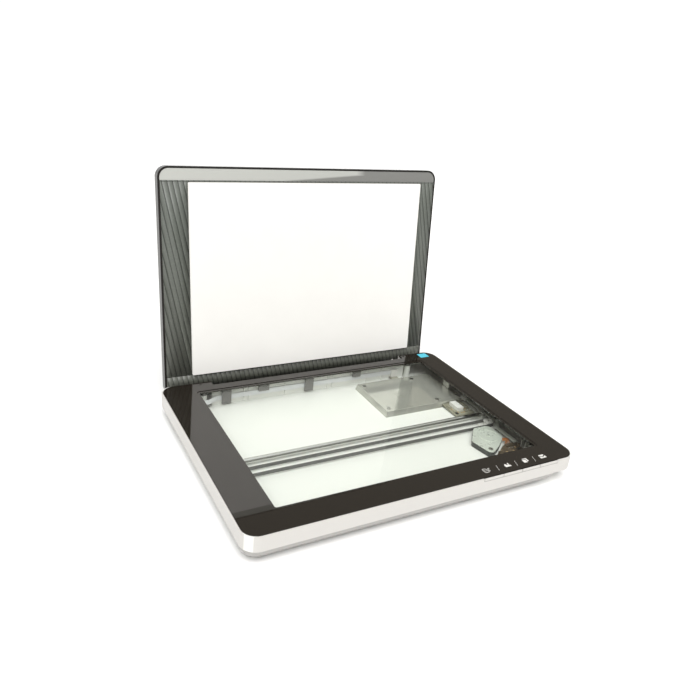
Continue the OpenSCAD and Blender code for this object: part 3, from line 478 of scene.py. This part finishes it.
# fluted face of the liner round the pad: each flute is a shallow crown
def flutes(name, x0, x1, y0, y1, corner=None):
    bm = bmesh.new()
    a, pitch, sub = SLANT, FLUTE / MM, 6
    off = ORG.x / MM

    def at(sv, y):
        # the x of flute coordinate sv at depth y, in step with the liner's own grooves
        zz = ZA - (y - YA) * math.sin(OPEN) + (LID_Z - ZA) * math.cos(OPEN)
        return (sv - zz * math.sin(a)) / math.cos(a) - off

    lo_s = min(((x + off) * math.cos(a) + (ZA - (y - YA)) * math.sin(a)) for x in (x0, x1) for y in (y0, y1)) - 8
    hi_s = max(((x + off) * math.cos(a) + (ZA - (y - YA)) * math.sin(a)) for x in (x0, x1) for y in (y0, y1)) + 8
    k0, k1 = math.floor(lo_s / pitch), math.ceil(hi_s / pitch)
    rows = []
    for k in range(k0 * sub, k1 * sub + 1):
        sv = k * pitch / sub
        h = 0.42 * abs(math.sin(math.pi * k / sub)) ** 0.75
        rows.append([bm.verts.new((at(sv, y), y, LID_Z - 0.01 - h)) for y in (y0 - 1, y1 + 1)])
    for p, q in zip(rows, rows[1:]):
        bm.faces.new((p[0], q[0], q[1], p[1]))
    cuts = [((x0, 0, 0), (-1, 0, 0)), ((x1, 0, 0), (1, 0, 0)), ((0, y0, 0), (0, -1, 0)), ((0, y1, 0), (0, 1, 0))]
    for c in corner or []:
        cuts.append(c)
    for co, no in cuts:
        bmesh.ops.bisect_plane(bm, geom=bm.verts[:] + bm.edges[:] + bm.faces[:], plane_co=co, plane_no=no, clear_outer=True)
    for v in bm.verts:
        v.co = L(v.co.x, v.co.y, v.co.z)
    o = mesh_object(name, bm, M["liner"], "lid", True)
    md = o.modifiers.new("skin", "SOLIDIFY")
    md.thickness = 0.00012
    md.offset = 0
    return o


flutes("liner_flutes_top", 10.5, 356.5, 29.9, 31.2)
flutes("liner_flutes_left", 10.5, 39.2, 31.4, 248.6)
flutes("liner_flutes_right", 335.5, 356.5, 31.4, 248.6)
flutes("liner_flutes_bottom", 10.5, 356.5, 249.0, 265.4, [((10.5, 261.4, 0), (-0.6, 0.8, 0)), ((356.5, 261.4, 0), (0.6, 0.8, 0))])

# foam of the pad: sides that bow in slightly behind the sheet
f0, f1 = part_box("pad_foam")
bm = bmesh.new()
fx0, fx1 = 37.4 + 2.2, 37.4 + 2.2 + 299.8 - 4.4
fy0, fy1 = 29.8 + 1.8, 29.8 + 1.8 + 220.4 - 3.6
levels = [(LID_Z - 2.4, 0.0), (LID_Z - 1.9, 0.45), (LID_Z - 1.2, 0.7), (LID_Z - 0.5, 0.45), (LID_Z, 0.0)]
loops = []
for z, inn in levels:
    x0, x1, y0, y1, r = fx0 + inn, fx1 - inn, fy0 + inn, fy1 - inn, 1.5
    pts = []
    for cx_, cy_, a0 in ((x1 - r, y0 + r, -90), (x1 - r, y1 - r, 0), (x0 + r, y1 - r, 90), (x0 + r, y0 + r, 180)):
        pts += [(cx_ + r * math.cos(math.radians(a0 + 18 * k)), cy_ + r * math.sin(math.radians(a0 + 18 * k))) for k in range(6)]
    loops.append([bm.verts.new(L(x, y, z)) for x, y in pts])
for p, q in zip(loops, loops[1:]):
    for k in range(len(p)):
        bm.faces.new((p[k], p[(k + 1) % len(p)], q[(k + 1) % len(q)], q[k]))
bm.faces.new(loops[0])
bm.faces.new(loops[-1])
foam = mesh_object("pad_foam_soft", bm, M["foam"], "lid")
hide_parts("pad_foam")

# round plug at the right end of the liner's lower band
bm = bmesh.new()
part = bmesh.new()
prism(part, ring(314.6, 264.6, 1.9, 1.9), LID_Z - 0.35, LID_Z + 0.1, L)
add(bm, part)
mesh_object("liner_plug_ring", bm, M["dark_parts"], "lid")
bm = bmesh.new()
prof = [(1.15, 0.3), (1.1, 0.5), (0.8, 0.68), (0.4, 0.75)]
loops = [[bm.verts.new(L(314.2 + r * math.cos(math.radians(15 * k)), 264.6 + r * math.sin(math.radians(15 * k)), LID_Z - h)) for k in range(24)] for r, h in prof]
for p, q in zip(loops, loops[1:]):
    for k in range(24):
        bm.faces.new((p[k], p[(k + 1) % 24], q[(k + 1) % 24], q[k]))
bm.faces.new(loops[-1])
mesh_object("liner_plug", bm, M["pom"], "lid", True)

# small parts on the two boards
tan_part = plastic("ceramic_tan", (0.42, 0.30, 0.17), 0.4, var=0.2, scale=500)
chip_black = plastic("chip_black", (0.018, 0.018, 0.018), 0.4, var=0.2, scale=500, grain=0.1)
solder = brushed("solder", (0.70, 0.70, 0.67), 0.25, (20, 20, 20), 200)
bm = bmesh.new()
for x, y, w_, d_, h_ in ((331.2, 146.0, 2.0, 1.2, 0.9), (327.0, 147.5, 1.2, 2.0, 0.9), (335.0, 146.4, 2.0, 1.2, 0.9), (341.0, 152.2, 1.2, 2.2, 0.8), (341.2, 158.0, 1.2, 2.2, 0.8), (341.0, 164.0, 1.2, 2.2, 0.8), (323.8, 156.0, 1.4, 2.4, 0.8)):
    soft_block(bm, x, x + w_, y, y + d_, 7.59, 7.6 + h_, 0.15)
for x, y, w_, d_, h_ in ((323.6, 60.6, 1.2, 2.0, 0.8), (326.8, 57.2, 2.2, 1.2, 0.8), (336.0, 56.6, 2.2, 1.2, 0.8), (343.4, 61.6, 1.2, 2.2, 0.8)):
    soft_block(bm, x, x + w_, y, y + d_, 6.19, 6.2 + h_, 0.15)
mesh_object("board_chips_tan", bm, tan_part, "base")
bm = bmesh.new()
for x, y, w_, d_, h_, z in ((323.4, 145.0, 3.0, 3.6, 1.1, 7.6), (325.6, 52.6, 6.0, 4.0, 1.2, 6.2), (335.4, 51.6, 4.6, 3.4, 1.1, 6.2), (343.2, 55.0, 4.4, 4.4, 1.2, 6.2)):
    soft_block(bm, x, x + w_, y, y + d_, z - 0.01, z + h_, 0.2)
mesh_object("board_chips_black", bm, chip_black, "base")
bm = bmesh.new()
for k in range(5):
    x, y = 336.0 + 1.9 * k, 64.4
    part = bmesh.new()
    bmesh.ops.create_uvsphere(part, u_segments=12, v_segments=8, radius=0.45 * MM)
    for v in part.verts:
        v.co = Vector((v.co.x, v.co.y, v.co.z * 0.7)) + B(x, y, 6.25)
    add(bm, part)
for x, y in ((347.4, 59.0), (349.8, 56.0), (347.0, 53.4), (330.6, 149.8), (343.6, 150.6), (336.2, 149.6)):
    part = bmesh.new()
    bmesh.ops.create_uvsphere(part, u_segments=12, v_segments=8, radius=0.6 * MM)
    for v in part.verts:
        v.co = Vector((v.co.x, v.co.y, v.co.z * 0.7)) + B(x, y, 6.25 if y < 100 else 7.65)
    add(bm, part)
mesh_object("board_solder", bm, solder, "base", True)

# blank rating plate under the tub
plate_mat = plastic("rating_plate", (0.46, 0.47, 0.47), 0.4, var=0.03, scale=40, grain=0.06, metallic=0.3)
bm = bmesh.new()
r = 2.0
pts = []
for cx_, cy_, a0 in ((226 - r, 110 + r, -90), (226 - r, 150 - r, 0), (150 + r, 150 - r, 90), (150 + r, 110 + r, 180)):
    pts += [(cx_ + r * math.cos(math.radians(a0 + 15 * k)), cy_ + r * math.sin(math.radians(a0 + 15 * k))) for k in range(7)]
prism(bm, pts, 1.9, 2.02)
mesh_object("rating_plate", bm, plate_mat, "base")

# ------------------------------------------------------------------ stage
def floor_material():
    g = Net("studio_floor")
    col = g.ramp(g.noise(3, 3.0), [(0.3, (0.90, 0.90, 0.895)), (0.7, (0.93, 0.93, 0.925))])
    g.bsdf(col, g.range(g.noise(20, 2.0), 0.3, 0.7, 0.75, 0.9), None)
    return g.m


fm = bpy.data.meshes.new("floor")
bm = bmesh.new()
bmesh.ops.create_grid(bm, x_segments=8, y_segments=8, size=14.0)
bm.to_mesh(fm)
bm.free()
floor = bpy.data.objects.new("floor", fm)
bpy.context.scene.collection.objects.link(floor)
floor.location = (0, 0, -0.0005)
fm.materials.append(floor_material())

w = bpy.data.worlds.new("studio")
bpy.context.scene.world = w
w.use_nodes = True
wt = w.node_tree
wt.nodes.clear()
wo = wt.nodes.new("ShaderNodeOutputWorld")
wb = wt.nodes.new("ShaderNodeBackground")
wc = wt.nodes.new("ShaderNodeTexCoord")
ws = wt.nodes.new("ShaderNodeSeparateXYZ")
wr = wt.nodes.new("ShaderNodeValToRGB")
wt.links.new(wc.outputs["Generated"], ws.inputs[0])
wt.links.new(ws.outputs[2], wr.inputs[0])
wt.links.new(wr.outputs[0], wb.inputs[0])
wt.links.new(wb.outputs[0], wo.inputs[0])
els = wr.color_ramp.elements
els[0].position = 0.0
els[0].color = (1.05, 1.05, 1.05, 1)
els[1].position = 1.0
els[1].color = (1.1, 1.1, 1.1, 1)
for p, v in ((0.17, (1.05, 1.05, 1.05)), (0.27, (0.24, 0.225, 0.195)), (0.64, (0.24, 0.225, 0.195)), (0.84, (1.0, 1.0, 1.0))):
    e2 = els.new(p)
    e2.color = (*v, 1)
wb.inputs[1].default_value = 1.0


def area(name, loc, target, size, energy, size_y=None, spec=1.0):
    d = bpy.data.lights.new(name, "AREA")
    d.energy = energy
    d.shape = "RECTANGLE" if size_y else "SQUARE"
    d.size = size
    if size_y:
        d.size_y = size_y
    d.specular_factor = spec
    o = bpy.data.objects.new(name, d)
    bpy.context.scene.collection.objects.link(o)
    o.location = loc
    o.rotation_euler = (Vector(target) - Vector(loc)).to_track_quat("-Z", "Y").to_euler()
    return o


sd = bpy.data.lights.new("soft_sun", "SUN")
sd.energy = 3.1
sd.angle = math.radians(50)
sun = bpy.data.objects.new("soft_sun", sd)
bpy.context.scene.collection.objects.link(sun)
sun.rotation_euler = (Vector((0, 0, 0)) - Vector((-0.30, -0.55, 1.0))).to_track_quat("-Z", "Y").to_euler()
